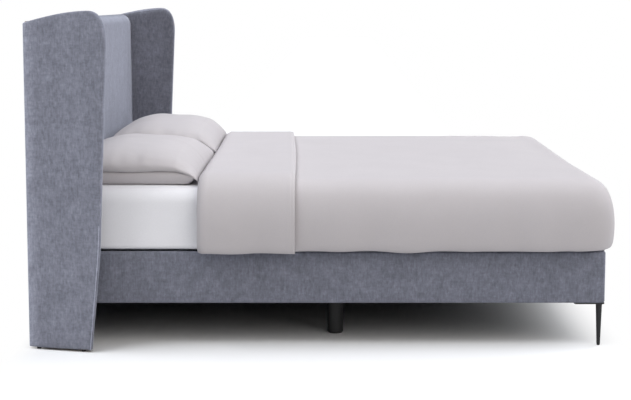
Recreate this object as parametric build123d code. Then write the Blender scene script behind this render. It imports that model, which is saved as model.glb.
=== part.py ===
from build123d import *
import os

# Box spring bed with an upholstered winged headboard, a sprung base, a mattress and its bedding.
# Millimetres. +X runs from the headboard to the foot, +Z is up, and -Y is the right-hand side
# as seen by someone who lies in the bed. The origin is on the floor under the middle of the whole bed.

# Whole bed
base_length = 2000.0
base_width = 1800.0
base_height = 190.0
leg_height = 160.0
headboard_depth = 100.0
duvet_foot_overhang = 45.0
fit_gap = 0.3            # a soft piece lies this far from what carries it
hole_clearance = 0.4     # a hole's radius over the shaft that goes through it
overrun = 60.0           # how far a cutting tool reaches past the piece that it cuts

# Upholstery layers
cloth = 2.0              # cover fabric with its backing
lip = 30.0               # how far a cover is turned over and stapled

# Headboard
headboard_drop = 30.0    # under the crest of the wings
floor_gap = 8.0
frame_depth = 32.0
board_thickness = 6.0
top_padding = 8.0
pad_front_radius = 62.0
pad_back_radius = 8.0
stile_width = 46.0
centre_stile_width = 60.0
top_rail_height = 80.0
middle_rail_height = 70.0
middle_rail_z = 700.0
bottom_rail_height = 300.0

# Wings: each is a flat panel that stands splayed against the side of the headboard
wing_splay = 14.0
wing_core_thickness = 18.0
wing_padding = 8.0
wing_height = 1226.0
wing_back_drop = 46.0    # heights under the crest, from the back to the front
wing_arch_drop = 8.0
wing_nose_drop = 29.0
wing_front_drop = 125.0
wing_arch_depth = 163.0  # depths from the back of the headboard
wing_crest_depth = 257.0
wing_nose_depth = 306.0
wing_front_depth = 321.5
wing_knee_depth = 287.0
wing_knee_height = 352.0
wing_foot_depth = 250.0
wing_knee_radius = 160.0
wing_nose_radius = 60.0  # softens the two ends of the nose
wing_outer_radius = 9.0
wing_inner_radius = 25.0
wing_core_edge = 12.0    # padding and cloth around the rim of the wooden panel

# Base frame
rail_thickness = 24.0
side_padding = 8.0
base_corner_radius = 16.0
base_edge_radius = 7.0
seam_from_corner = 10.0
ledger_width = 30.0
ledger_height = 30.0
beam_width = 90.0
cross_beam_width = 90.0
block_size = 150.0
slat_thickness = 16.0
slat_width = 70.0
slat_count = 13
slat_end_margin = 12.0
deck_foam = 20.0

# Pocket springs: strips of barrel pockets stand side by side on the slats
pocket_pitch = 100.0
pocket_web = 8.0
strip_margin = 20.0

# Slim steel legs under the foot end
plate_size = 110.0
plate_thickness = 4.0
plate_inset = 2.0
plate_corner_radius = 8.0
leg_inset = 20.0         # from the outer edges of the base to the axis of the leg
leg_top_radius = 11.5
leg_tip_radius = 6.5
leg_collar_radius = 15.0
leg_collar_height = 5.0
glide_height = 4.0
glide_radius = 5.5
plate_screw_inset = 14.0
screw_radius = 2.5
screw_head_radius = 5.0
screw_head_height = 2.0
screw_length = 24.0

# Round support legs
support_radius = 30.0
support_edge_radius = 3.0
support_side_inset = 217.0
support_side_from_head = 1012.0
support_head_from_head = 75.0
support_head_inset = 75.0
support_centre_from_end = 330.0
felt_height = 3.0
felt_radius = 27.0
stud_radius = 4.0
stud_in_leg = 40.0
stud_in_timber = 22.0

# Bolts that hold the headboard to the base and the wings to the headboard
bolt_radius = 5.0
bolt_head_radius = 9.0
bolt_head_height = 6.0
washer_radius = 14.0
washer_thickness = 2.0
bolt_z = 245.0
bolt_from_middle = 330.0
bolt_from_side = 120.0
bolt_in_frame = 24.0
wing_bolt_radius = 4.0
wing_bolt_head_radius = 7.0
wing_bolt_head_height = 5.0
wing_bolt_from_back = 12.0
wing_bolt_in_stile = 20.0
wing_bolt_pocket = 34.0
wing_low_bolt_height = 150.0
wing_top_bolt_drop = 76.0    # under the top of the frame
wing_bolt_shares = (0, 0.34375, 0.6875, 1)
wing_bolt_in_core = 12.0
frame_glide_radius = 12.0
wing_glide_radius = 8.0
wing_glide_depths = (40.0, 215.0)
frame_glide_from_middle = 500.0

# Mattress
mattress_thickness = 238.0
mattress_side_inset = 6.0
mattress_head_gap = 2.0
mattress_foot_gap = 4.0
mattress_corner_radius = 70.0
mattress_top_radius = 50.0
mattress_bottom_radius = 26.0
sheet_cloth = 1.5
sheet_turn_under = 70.0
bottom_foam = 40.0
top_foam = 60.0
border_foam = 80.0

# Duvet
duvet_head_from_base = 525.0
fold_back_length = 350.0
fold_back_thickness = 13.0
fold_back_side = 8.0
fold_edge_radius = 12.0
duvet_hem_above_base = 6.0
duvet_side_overhang = 45.0   # the widest point of the side past the side of the base
duvet_hem_overhang = 26.0
duvet_bulge_share = 0.5      # of the way from the hem to the shoulder
duvet_shoulder_drop = 47.0   # under the mattress's top
duvet_shoulder_in = 9.0
duvet_brow_in = 37.0
duvet_brow_drop = 18.0       # under the rim of the top
duvet_top_in = 105.0
duvet_edge_thickness = 12.0
duvet_crown = 46.0           # over the mattress's top, at the middle
duvet_fold_depth = 7.0
duvet_fold_count = 9
duvet_foot_slope = 290.0     # length of the last part, where the top falls to the foot

# Pillows: a pair side by side on another pair
pillow_from_headboard = 4.0
pillow_middle = 452.0
lower_depth = 486.0
lower_half_width = 406.0
lower_edge = 36.0
lower_crown = 34.0
upper_overhang = 28.0        # how far the upper pillow hangs past the lower one
upper_half_width = 412.0
upper_edge = 26.0
upper_crown = 72.0
pillow_bulge_share = 0.3     # of the height of a pillow's edge

# Stations along the duvet's foot end: share of the run, of the fall and of the corner's inset
foot_fall_shares = (
    (0, 0, 0),
    (0.42, 0.015, 0),
    (0.70, 0.05, 0.04),
    (0.84, 0.19, 0.16),
    (0.93, 0.42, 0.42),
    (0.975, 0.66, 0.72),
    (1, 1, 1),
)
duvet_foot_fall = 150.0
duvet_foot_corner = 70.0
duvet_crown_loss = 32.0

# Stations along a pillow: share of its depth, of its width and of its filling
pillow_shares = (
    (0, 0.97, 0.28),
    (0.05, 1, 0.52),
    (0.2, 0.985, 0.86),
    (0.42, 0.975, 1),
    (0.64, 0.975, 0.96),
    (0.84, 0.985, 0.78),
    (0.95, 1, 0.5),
    (1, 0.97, 0.26),
)
upper_foot_fill_share = 0.72
pillow_tip_share = 0.5

# Derived places
overall_length = headboard_depth + base_length + duvet_foot_overhang
back_x = -overall_length / 2
head_x = back_x + headboard_depth
foot_x = head_x + base_length
half_width = base_width / 2
base_bottom = leg_height
base_top = leg_height + base_height
rail_outer_y = half_width - cloth - side_padding
rail_inner_y = rail_outer_y - rail_thickness
rail_head_x = head_x + cloth
rail_foot_x = foot_x - cloth - side_padding
inner_head_x = rail_head_x + rail_thickness
inner_foot_x = rail_foot_x - rail_thickness
rail_bottom = base_bottom + cloth
rail_top = base_top - cloth - deck_foam
slat_bottom = rail_bottom + ledger_height
spring_bottom = slat_bottom + slat_thickness
wing_thickness = wing_core_thickness + 2 * wing_padding + 2 * cloth
frame_front_x = back_x + cloth + frame_depth
board_front_x = frame_front_x + board_thickness
headboard_height = wing_height - headboard_drop
frame_top = headboard_height - cloth - top_padding
wing_back_height = wing_height - wing_back_drop
wing_arch_height = wing_height - wing_arch_drop
wing_nose_height = wing_height - wing_nose_drop
wing_front_height = wing_height - wing_front_drop
bolt_y_places = (bolt_from_middle, half_width - bolt_from_side)
wing_bolt_run = frame_top - wing_top_bolt_drop - wing_low_bolt_height
wing_bolt_heights = [wing_low_bolt_height + share * wing_bolt_run for share in wing_bolt_shares]
mattress_head_x = head_x + mattress_head_gap
mattress_foot_x = foot_x - mattress_foot_gap
mattress_half_width = half_width - mattress_side_inset
mattress_top = base_top + mattress_thickness
duvet_head_x = head_x + duvet_head_from_base
duvet_foot_x = foot_x + duvet_foot_overhang
duvet_hem = base_top + duvet_hem_above_base


def block(low, high):
    """A box from its lowest corner to its highest."""
    size = [b - a for a, b in zip(low, high)]
    return Pos(*low) * Box(*size, align=(Align.MIN, Align.MIN, Align.MIN))


def disc(x, y, low_z, high_z, radius):
    """An upright cylinder."""
    body = Cylinder(radius, high_z - low_z, align=(Align.CENTER, Align.CENTER, Align.MIN))
    return Pos(x, y, low_z) * body


def mirrored(body):
    """The same piece on the other side of the bed."""
    return mirror(body, about=Plane.XZ)


def on_both_sides(body):
    """Two solids, one on each side of the bed."""
    return [body, mirrored(body)]


def save(node, body):
    """Write one sub-part, which is a solid or a list of separate solids."""
    pieces = body if isinstance(body, list) else [body]
    solids = [solid for piece in pieces for solid in piece.solids()]
    shape = solids[0] if len(solids) == 1 else Compound(solids)
    export_step(shape, f"parts/{node}.step")


# Headboard and wings

def splayed(body):
    """Turn a piece drawn along X beside the headboard to the right wing's place."""
    return Pos(back_x, -half_width, 0) * Rot(0, 0, -wing_splay) * body


def wing_outline(inset):
    """The wing's side view: arched top, round nose, straight front and a knee over a tapered foot."""
    crest = (wing_crest_depth, wing_height)
    front = (wing_front_depth, wing_front_height)
    arch = ThreePointArc((0, wing_back_height), (wing_arch_depth, wing_arch_height), crest)
    nose = ThreePointArc(crest, (wing_nose_depth, wing_nose_height), front)
    tail = Polyline(
        (0, wing_back_height),
        (-overrun, wing_back_height),
        (-overrun, floor_gap - overrun),
        (wing_foot_depth, floor_gap - overrun),
        (wing_foot_depth, floor_gap),
        (wing_knee_depth, wing_knee_height),
        front,
    )
    face = make_face(Plane.XZ * (arch + nose + tail))
    knee = (wing_knee_depth, wing_knee_height)
    for (depth, z), radius in ((knee, wing_knee_radius), (crest, wing_nose_radius), (front, wing_nose_radius)):
        face = fillet(face.vertices().sort_by_distance((depth, 0, z))[0], radius)
    if inset > 0:
        face = offset(face, -inset)
    return face


def wing_panel(inset, rim_inset, back, rim_radii=None, below=0):
    """A splayed panel, thinner than the wing by an inset on each face, with its rim rounded."""
    panel = extrude(wing_outline(rim_inset), wing_thickness - 2 * inset, dir=(0, -1, 0))
    panel = Pos(0, -inset, 0) * panel
    for side, radius in zip((0, -1), rim_radii or ()):
        flank = panel.faces().filter_by(Plane.XZ).sort_by(Axis.Y)[side]
        rim = [
            edge
            for edge in flank.edges()
            if edge.center().X > lip - overrun and edge.center().Z > floor_gap - lip
        ]
        panel = fillet(rim, radius)
    low = (back, -base_width, floor_gap - below)
    high = (head_x + wing_front_depth, 0, wing_height + overrun)
    return splayed(panel) & block(low, high)


def wing_bolts(radius, from_inner, to_core):
    """Round bars square to the wing, from inside the headboard into the wooden panel."""
    length = from_inner + to_core
    bar = Rot(90, 0, 0) * Cylinder(radius, length, align=(Align.CENTER, Align.CENTER, Align.MIN))
    return [splayed(Pos(wing_bolt_from_back, from_inner, z) * bar) for z in wing_bolt_heights]


def between_wings(body):
    """Trim a headboard piece to the wings' inner faces, which spread towards the foot."""
    outside = splayed(block((-overrun, -base_width, -overrun), (base_length, 0, 2 * wing_height)))
    return body - outside - mirrored(outside)


def headboard_slab(back, front, low_z, top_z):
    """A slab of the headboard as wide as the wings allow."""
    return between_wings(block((back, -base_width, low_z), (front, base_width, top_z)))


def base_bolts(radius, back, front):
    """The long bolts that pull the base against the headboard."""
    bar = Rot(0, 90, 0) * Cylinder(radius, front - back, align=(Align.CENTER, Align.CENTER, Align.MIN))
    return [Pos(back, side * y, bolt_z) * bar for y in bolt_y_places for side in (-1, 1)]


def pad_block(inset, back):
    """The headboard pad's outer form less an inset, with its top rounded over."""
    low_z = floor_gap - (overrun if inset > 0 else 0)
    pad = block((back, -base_width, low_z), (head_x - inset, base_width, headboard_height - inset))
    top = pad.edges().filter_by(Axis.Y).group_by(Axis.Z)[-1].sort_by(Axis.X)
    pad = fillet(top[-1], pad_front_radius - inset)
    top = pad.edges().filter_by(Axis.Y).filter_by(lambda e: e.center().X < back + fit_gap)
    return fillet(top.sort_by(Axis.Z)[-1], pad_back_radius - inset)


def make_headboard():
    """Timber frame, board, foam, cover, back cloth, and the bolts and glides."""
    bolt_holes = base_bolts(bolt_radius + hole_clearance, frame_front_x - bolt_in_frame, head_x + overrun)
    back = back_x + cloth
    frame = headboard_slab(back, frame_front_x, floor_gap, frame_top)
    inner_y = half_width - stile_width
    stile = frame & block((back_x, -base_width, 0), (head_x, -inner_y, frame_top))
    stile -= wing_bolts(wing_bolt_radius + hole_clearance, wing_bolt_in_stile, lip)
    pocket_end = wing_bolt_in_stile + wing_bolt_pocket
    stile -= wing_bolts(wing_bolt_head_radius + hole_clearance, pocket_end, -wing_bolt_in_stile)
    save("headboard_stile_right", stile)
    save("headboard_stile_left", mirrored(stile))

    def rail(low_z, high_z, half_span=inner_y):
        return block((back, -half_span, low_z), (frame_front_x, half_span, high_z))

    top_rail = rail(frame_top - top_rail_height, frame_top)
    middle_top = middle_rail_z + middle_rail_height
    middle_rail = rail(middle_rail_z, middle_top)
    bottom_rail_top = floor_gap + bottom_rail_height
    bottom_rail = rail(floor_gap, bottom_rail_top) - bolt_holes
    half_stile = centre_stile_width / 2
    centre_stiles = [
        rail(bottom_rail_top, middle_rail_z, half_stile),
        rail(middle_top, frame_top - top_rail_height, half_stile),
    ]
    save("headboard_top_rail", top_rail)
    save("headboard_middle_rail", middle_rail)
    save("headboard_bottom_rail", bottom_rail)
    save("headboard_centre_stiles", centre_stiles)

    board = headboard_slab(frame_front_x, board_front_x, floor_gap, frame_top) - bolt_holes
    save("headboard_board", board)

    inside = pad_block(cloth, back)
    wood = block((back_x, -base_width, -overrun), (board_front_x, base_width, frame_top))
    above_floor = block((back_x, -base_width, floor_gap), (head_x, base_width, headboard_height))
    foam = between_wings((inside & above_floor) - wood) - bolt_holes
    save("headboard_foam", foam)

    window = block((back_x - overrun, -base_width, -overrun), (back, base_width, headboard_height - lip))
    cover = between_wings(pad_block(0, back_x) - pad_block(cloth, back) - window) - bolt_holes
    save("headboard_cover", cover)
    save("headboard_back_cloth", headboard_slab(back_x, back, floor_gap, headboard_height - lip))

    tip_x = frame_front_x - bolt_in_frame
    washer_x = inner_head_x + washer_thickness
    heads = base_bolts(bolt_head_radius, washer_x, washer_x + bolt_head_height)
    washers = base_bolts(washer_radius, inner_head_x, washer_x)
    shafts = base_bolts(bolt_radius, tip_x, washer_x)
    bolts = [shaft + washer + head for shaft, washer, head in zip(shafts, washers, heads)]
    save("headboard_bolts", bolts)


def make_wings():
    """Each wing: a wooden panel, the foam around it, the sewn cover, its bolts and glides."""
    back = back_x + cloth
    core_inset = cloth + wing_padding
    shaft_radius = wing_bolt_radius + hole_clearance
    holes = wing_bolts(shaft_radius, lip, core_inset + wing_bolt_in_core)
    inner_radii = (wing_outer_radius - cloth, wing_inner_radius - cloth)
    core = wing_panel(core_inset, wing_core_edge, back)
    foam = wing_panel(cloth, cloth, back, inner_radii) - core
    outer = wing_panel(0, 0, back_x, (wing_outer_radius, wing_inner_radius))
    cover = outer - wing_panel(cloth, cloth, back, inner_radii, below=lip)
    head_end = wing_bolt_in_stile + wing_bolt_head_height
    heads = wing_bolts(wing_bolt_head_radius, head_end, -wing_bolt_in_stile)
    shafts = wing_bolts(wing_bolt_radius, wing_bolt_in_stile, core_inset + wing_bolt_in_core)
    bolts = [shaft + head for shaft, head in zip(shafts, heads)]
    middle = core_inset + wing_core_thickness / 2
    glides = [
        splayed(disc(depth, -middle, 0, floor_gap, wing_glide_radius)) for depth in wing_glide_depths
    ]
    for side, place in (("right", lambda body: body), ("left", mirrored)):
        save(f"wing_core_{side}", place(core - holes))
        save(f"wing_foam_{side}", place(foam - holes))
        save(f"wing_cover_{side}", place(cover - holes))
    save("wing_bolts", bolts + [mirrored(bolt) for bolt in bolts])
    glides += [mirrored(glide) for glide in glides]
    frame_x = back_x + cloth + frame_depth / 2
    frame_glide = disc(frame_x, frame_glide_from_middle, 0, floor_gap, frame_glide_radius)
    glides += on_both_sides(frame_glide)
    save("floor_glides", glides)


# Base

def base_form(inset):
    """The upholstered box less an inset, square at the head and rounded along every other edge."""
    form = block(
        (head_x + inset, -half_width + inset, base_bottom + inset),
        (foot_x - inset, half_width - inset, base_top - inset),
    )
    corners = form.edges().filter_by(Axis.Z).group_by(Axis.X)[-1]
    form = fillet(corners, base_corner_radius - inset)
    rims = [
        edge
        for face in (form.faces().sort_by(Axis.Z)[0], form.faces().sort_by(Axis.Z)[-1])
        for edge in face.edges()
        if edge.center().X > head_x + lip
    ]
    return fillet(rims, base_edge_radius - inset)


def deck_window(low_z, high_z):
    """The opening that the turned-over edge of the cover leaves above and below."""
    return block(
        (head_x + lip, -half_width + lip, low_z), (foot_x - lip, half_width - lip, high_z)
    )


def plate_centre():
    """Middle of the right foot leg's plate."""
    place = plate_inset + plate_size / 2
    return foot_x - place, -half_width + place


def leg_screws(radius, low_z, high_z):
    """Upright bars at the corners of each leg plate, except the one where the leg is welded."""
    x, y = plate_centre()
    reach = plate_size / 2 - plate_screw_inset
    corners = ((-reach, -reach), (-reach, reach), (reach, reach))
    return [
        disc(x + dx, side * (y + dy), low_z, high_z, radius) for side in (1, -1) for dx, dy in corners
    ]


def support_places():
    """Axes of the round legs: head corners, middle of each side, and along the centre."""
    head = head_x + support_head_from_head
    corner_y = half_width - support_head_inset
    middle = head_x + support_side_from_head
    side_y = half_width - support_side_inset
    centre = [head_x + support_centre_from_end, middle, foot_x - support_centre_from_end]
    return {
        "head": [(head, -corner_y), (head, corner_y)],
        "middle": [(middle, -side_y), (middle, side_y)],
        "centre": [(x, 0) for x in centre],
    }


def support_studs(radius, low_z, high_z):
    """Upright bars on the axes of all the round legs."""
    return [disc(x, y, low_z, high_z, radius) for row in support_places().values() for x, y in row]


def timber_holes():
    """Holes for the leg screws and the support legs' studs."""
    top = slat_bottom
    holes = leg_screws(screw_radius + hole_clearance, base_bottom - overrun, top)
    return holes + support_studs(stud_radius + hole_clearance, base_bottom - overrun, top)


def make_base_frame():
    """Rails, ledgers, beams, corner blocks and slats."""
    holes = timber_holes()
    bolt_holes = base_bolts(bolt_radius + hole_clearance, head_x - overrun, inner_head_x + overrun)
    side = block(
        (rail_head_x, -rail_outer_y, rail_bottom), (rail_foot_x, -rail_inner_y, rail_top)
    )
    save("base_side_rail_right", side - holes)
    save("base_side_rail_left", mirrored(side - holes))
    head_rail = block((rail_head_x, -rail_inner_y, rail_bottom), (inner_head_x, rail_inner_y, rail_top))
    foot_rail = block((inner_foot_x, -rail_inner_y, rail_bottom), (rail_foot_x, rail_inner_y, rail_top))
    save("base_head_rail", head_rail - bolt_holes)
    save("base_foot_rail", foot_rail - holes)

    middle = head_x + support_side_from_head
    cross_low = middle - cross_beam_width / 2
    cross_high = middle + cross_beam_width / 2
    cross = block((cross_low, -rail_inner_y, rail_bottom), (cross_high, rail_inner_y, slat_bottom))
    save("base_cross_beam", cross - holes)
    half_beam = beam_width / 2
    beams = [
        block((inner_head_x, -half_beam, rail_bottom), (cross_low, half_beam, slat_bottom)),
        block((cross_high, -half_beam, rail_bottom), (inner_foot_x, half_beam, slat_bottom)),
    ]
    save("base_centre_beams", [beam - holes for beam in beams])

    block_y = rail_inner_y - block_size
    corners = [
        block((x, -rail_inner_y, rail_bottom), (x + block_size, -block_y, slat_bottom))
        for x in (inner_head_x, inner_foot_x - block_size)
    ]
    save("base_corner_blocks", [piece - holes for c in corners for piece in on_both_sides(c)])

    spans = ((inner_head_x + block_size, cross_low), (cross_high, inner_foot_x - block_size))
    ledger_y = rail_inner_y - ledger_width
    ledgers = [
        block((low, -rail_inner_y, rail_bottom), (high, -ledger_y, slat_bottom)) for low, high in spans
    ]
    save("base_ledgers", [piece for ledger in ledgers for piece in on_both_sides(ledger)])

    first = inner_head_x + slat_end_margin
    run = inner_foot_x - slat_end_margin - slat_width - first
    slats = [
        block(
            (first + run * i / (slat_count - 1), -rail_inner_y, slat_bottom),
            (first + run * i / (slat_count - 1) + slat_width, rail_inner_y, spring_bottom),
        )
        for i in range(slat_count)
    ]
    save("base_slats", slats)


def pocket_strip(count, pitch, radius):
    """One strip of barrel pockets, joined by the weld between them, lying across the bed."""
    half_web = pocket_web / 2
    start = -count * pitch / 2
    upper = [(start, half_web)]
    for i in range(count):
        left = start + i * pitch
        upper += [
            (left + pitch / 4, radius),
            (left + pitch * 3 / 4, radius),
            (left + pitch, half_web),
        ]
    lower = [(y, -x) for y, x in reversed(upper)]
    outline = [(x, y) for y, x in upper + lower]
    return extrude(make_face(Polyline(*outline, close=True)), rail_top - spring_bottom)


def make_springs():
    """The strips that stand side by side between the head rail and the foot rail."""
    room_x = inner_foot_x - inner_head_x - 2 * strip_margin
    room_y = 2 * (rail_inner_y - fit_gap)
    count = round(room_y / pocket_pitch)
    rows = round(room_x / pocket_pitch)
    pitch_x = room_x / rows
    strip = pocket_strip(count, room_y / count, pitch_x / 2)
    first = inner_head_x + strip_margin + pitch_x / 2
    strips = [Pos(first + i * pitch_x, 0, spring_bottom) * strip for i in range(rows)]
    save("base_spring_strips", strips)


def make_base_upholstery():
    """Foam on the springs, foam on the sides, the sewn cover, deck cloth and dust cloth."""
    holes = timber_holes()
    bolt_holes = base_bolts(bolt_radius + hole_clearance, head_x - overrun, inner_head_x + overrun)
    pad = block((rail_head_x, -rail_outer_y, rail_top), (rail_foot_x, rail_outer_y, base_top - cloth))
    save("base_foam_pad", pad)

    inner = base_form(cloth)
    timber = block((rail_head_x - overrun, -rail_outer_y, 0), (rail_foot_x, rail_outer_y, base_top))
    band = inner - timber
    beside = block((head_x, -half_width, 0), (rail_foot_x, -rail_outer_y, base_top))
    save("base_padding_right", band & beside)
    save("base_padding_left", mirrored(band & beside))
    save("base_padding_foot", band & block((rail_foot_x, -half_width, 0), (foot_x, half_width, base_top)))

    skin = base_form(0) - inner
    skin -= deck_window(base_bottom - overrun, base_top + overrun)
    skin -= holes
    skin -= bolt_holes
    seam_x = foot_x - base_corner_radius - seam_from_corner
    side = block((head_x + cloth, -half_width, 0), (seam_x, -half_width + lip, base_top))
    ends = skin - side - mirrored(side)
    head_half = block((head_x, -half_width, 0), (0, half_width, base_top))
    save("base_cover_right", skin & side)
    save("base_cover_left", mirrored(skin & side))
    save("base_cover_foot", ends - head_half)
    save("base_cover_head", ends & head_half)
    save("base_deck_cloth", deck_window(base_top - cloth, base_top))
    save("base_dust_cloth", deck_window(base_bottom, rail_bottom) - holes)


# Legs

def make_foot_legs():
    """Slim tapered steel legs, each welded to a screw plate, with a glide in its tip."""
    x, y = plate_centre()
    plate_low = base_bottom - plate_thickness
    plate = block(
        (x - plate_size / 2, y - plate_size / 2, plate_low),
        (x + plate_size / 2, y + plate_size / 2, base_bottom),
    )
    plate = fillet(plate.edges().filter_by(Axis.Z), plate_corner_radius)
    plate -= leg_screws(screw_radius + hole_clearance, plate_low - overrun, base_bottom + overrun)
    axis_x, axis_y = foot_x - leg_inset, -half_width + leg_inset
    shank_height = plate_low - glide_height
    shank = Pos(axis_x, axis_y, glide_height) * Cone(
        leg_tip_radius, leg_top_radius, shank_height,
        align=(Align.CENTER, Align.CENTER, Align.MIN),
    )
    collar = Pos(axis_x, axis_y, plate_low - leg_collar_height) * Cone(
        leg_top_radius, leg_collar_radius, leg_collar_height,
        align=(Align.CENTER, Align.CENTER, Align.MIN),
    )
    leg = plate + shank + collar
    save("foot_leg_right", leg)
    save("foot_leg_left", mirrored(leg))
    glide = disc(axis_x, axis_y, 0, glide_height, glide_radius)
    save("foot_leg_glides", on_both_sides(glide))
    shafts = leg_screws(screw_radius, plate_low, plate_low + screw_length)
    heads = leg_screws(screw_head_radius, plate_low - screw_head_height, plate_low)
    save("leg_plate_screws", [shaft + head for shaft, head in zip(shafts, heads)])


def support_leg(x, y):
    """A round leg with softened ends and a hole for its stud."""
    leg = disc(x, y, felt_height, base_bottom, support_radius)
    leg = fillet(leg.edges().filter_by(GeomType.CIRCLE), support_edge_radius)
    stud_low = base_bottom - stud_in_leg
    return leg - disc(x, y, stud_low, base_bottom + overrun, stud_radius + hole_clearance)


def make_support_legs():
    """The round black legs under the rest of the base, their studs and their felts."""
    places = support_places()
    for row in ("head", "middle"):
        for side, place in zip(("right", "left"), places[row]):
            save(f"support_leg_{row}_{side}", support_leg(*place))
    save("support_legs_centre", [support_leg(*place) for place in places["centre"]])
    save("support_leg_felts", support_studs(felt_radius, 0, felt_height))
    stud_low, stud_high = base_bottom - stud_in_leg, base_bottom + stud_in_timber
    save("support_leg_studs", support_studs(stud_radius, stud_low, stud_high))


# Mattress

def mattress_form(inset):
    """The mattress in its sheet less an inset, rounded along every edge."""
    form = block(
        (mattress_head_x + inset, -mattress_half_width + inset, base_top + inset),
        (mattress_foot_x - inset, mattress_half_width - inset, mattress_top - inset),
    )
    form = fillet(form.edges().filter_by(Axis.Z), mattress_corner_radius - inset)
    form = fillet(form.faces().sort_by(Axis.Z)[-1].edges(), mattress_top_radius - inset)
    return fillet(form.faces().sort_by(Axis.Z)[0].edges(), mattress_bottom_radius - inset)


def make_mattress():
    """Spring core, foam below, above and around it, and the fitted sheet."""
    filling = mattress_form(sheet_cloth)
    low, high = filling.bounding_box().min, filling.bounding_box().max
    core_low = low.Z + bottom_foam
    core_high = high.Z - top_foam
    save("mattress_bottom_foam", filling & block(low, (high.X, high.Y, core_low)))
    save("mattress_top_foam", filling & block((low.X, low.Y, core_high), high))
    core = block(
        (low.X + border_foam, low.Y + border_foam, core_low),
        (high.X - border_foam, high.Y - border_foam, core_high),
    )
    save("mattress_spring_core", core)
    middle = block((low.X, low.Y, core_low), (high.X, high.Y, core_high))
    save("mattress_border", (filling & middle) - core)
    opening = block(
        (mattress_head_x + sheet_turn_under, -mattress_half_width + sheet_turn_under, base_top),
        (
            mattress_foot_x - sheet_turn_under,
            mattress_half_width - sheet_turn_under,
            base_top + sheet_cloth,
        ),
    )
    save("fitted_sheet", mattress_form(0) - filling - opening)


# Duvet

def duvet_section(x, half_widest, crown_z, shoulder_lift, hem_out):
    """The duvet cut across the bed: hanging sides, round shoulders and a crowned top."""
    hem = (half_widest - hem_out, duvet_hem)
    shoulder_z = mattress_top - duvet_shoulder_drop + shoulder_lift
    widest = (half_widest, duvet_hem + duvet_bulge_share * (shoulder_z - duvet_hem))
    shoulder = (half_widest - duvet_shoulder_in, shoulder_z)
    rim_z = mattress_top + duvet_edge_thickness + shoulder_lift
    brow = (half_widest - duvet_brow_in, rim_z - duvet_brow_drop)
    top = (half_widest - duvet_top_in, rim_z)
    other = [(-y, z) for y, z in (hem, widest, shoulder, brow, top)]
    edges = [
        Line(other[0], hem),
        ThreePointArc(hem, widest, shoulder),
        ThreePointArc(shoulder, brow, top),
        ThreePointArc(top, (0, crown_z), other[4]),
        ThreePointArc(other[4], other[3], other[2]),
        ThreePointArc(other[2], other[1], other[0]),
    ]
    across = Plane(origin=(x, 0, 0), x_dir=(0, 1, 0), z_dir=(1, 0, 0))
    return across * make_face(edges)


def duvet_main():
    """The part past the fold, whose sides hang in soft folds, falling away at the foot."""
    hem_out = duvet_side_overhang - duvet_hem_overhang
    widest = half_width + duvet_side_overhang
    crown = mattress_top + duvet_crown
    start = duvet_head_x + fold_edge_radius
    slope_start = duvet_foot_x - duvet_foot_slope
    step = (slope_start - start) / duvet_fold_count
    sections = []
    for i in range(duvet_fold_count):
        wave = duvet_fold_depth / 2 * (-1) ** i
        sections.append(duvet_section(start + i * step, widest + wave, crown, 0, hem_out + wave))
    for run_share, fall_share, in_share in foot_fall_shares:
        fall = fall_share * duvet_foot_fall
        x = slope_start + run_share * duvet_foot_slope
        half = widest - in_share * duvet_foot_corner
        crown_z = crown - fall - duvet_crown_loss * run_share
        sections.append(duvet_section(x, half, crown_z, -fall, hem_out))
    return loft(sections, ruled=True)


def duvet_fold_back():
    """The head end, turned back over itself so that it lies thicker."""
    hem_out = duvet_side_overhang - duvet_hem_overhang
    widest = half_width + duvet_side_overhang + fold_back_side
    crown = mattress_top + duvet_crown + fold_back_thickness
    end = duvet_head_x + fold_back_length
    sections = []
    for x, share in (
        (duvet_head_x, 1),
        (duvet_head_x + fold_edge_radius, 0),
        (end - fold_edge_radius, 0),
        (end, 1),
    ):
        inset = share * fold_edge_radius
        sections.append(
            duvet_section(x, widest - inset, crown - inset, fold_back_thickness - inset, hem_out)
        )
    return loft(sections, ruled=True)


def mattress_room():
    """The space that the mattress takes up in the duvet, open downwards and at the head."""
    room = block(
        (head_x - overrun, -mattress_half_width - fit_gap, base_top - overrun),
        (mattress_foot_x + fit_gap, mattress_half_width + fit_gap, mattress_top + fit_gap),
    )
    corners = room.edges().filter_by(Axis.Z).group_by(Axis.X)[-1]
    room = fillet(corners, mattress_corner_radius + fit_gap)
    return fillet(room.faces().sort_by(Axis.Z)[-1].edges(), mattress_top_radius + fit_gap)


def make_duvet():
    """One quilt: the main part and the layer that is folded back, lying over the mattress."""
    save("duvet", duvet_main() + duvet_fold_back() - mattress_room())


# Pillows

def pillow_section(x, half, bottom_z, bottom_crown, edge, crown):
    """A pillow cut across the bed: a bowed or flat underside, round edges and a crowned top."""
    tuck = pillow_bulge_share * edge
    low, high = (half - tuck, bottom_z), (half - tuck, bottom_z + edge)
    side = (half, bottom_z + edge / 2)
    other_low, other_side, other_high = [(-y, z) for y, z in (low, side, high)]
    under = Line(other_low, low)
    if bottom_crown > 0:
        under = ThreePointArc(other_low, (0, bottom_z + bottom_crown), low)
    edges = [
        under,
        ThreePointArc(low, side, high),
        ThreePointArc(high, (0, bottom_z + edge + crown), other_high),
        ThreePointArc(other_high, other_side, other_low),
    ]
    across = Plane(origin=(x, pillow_middle, 0), x_dir=(0, 1, 0), z_dir=(1, 0, 0))
    return across * make_face(edges)


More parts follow.
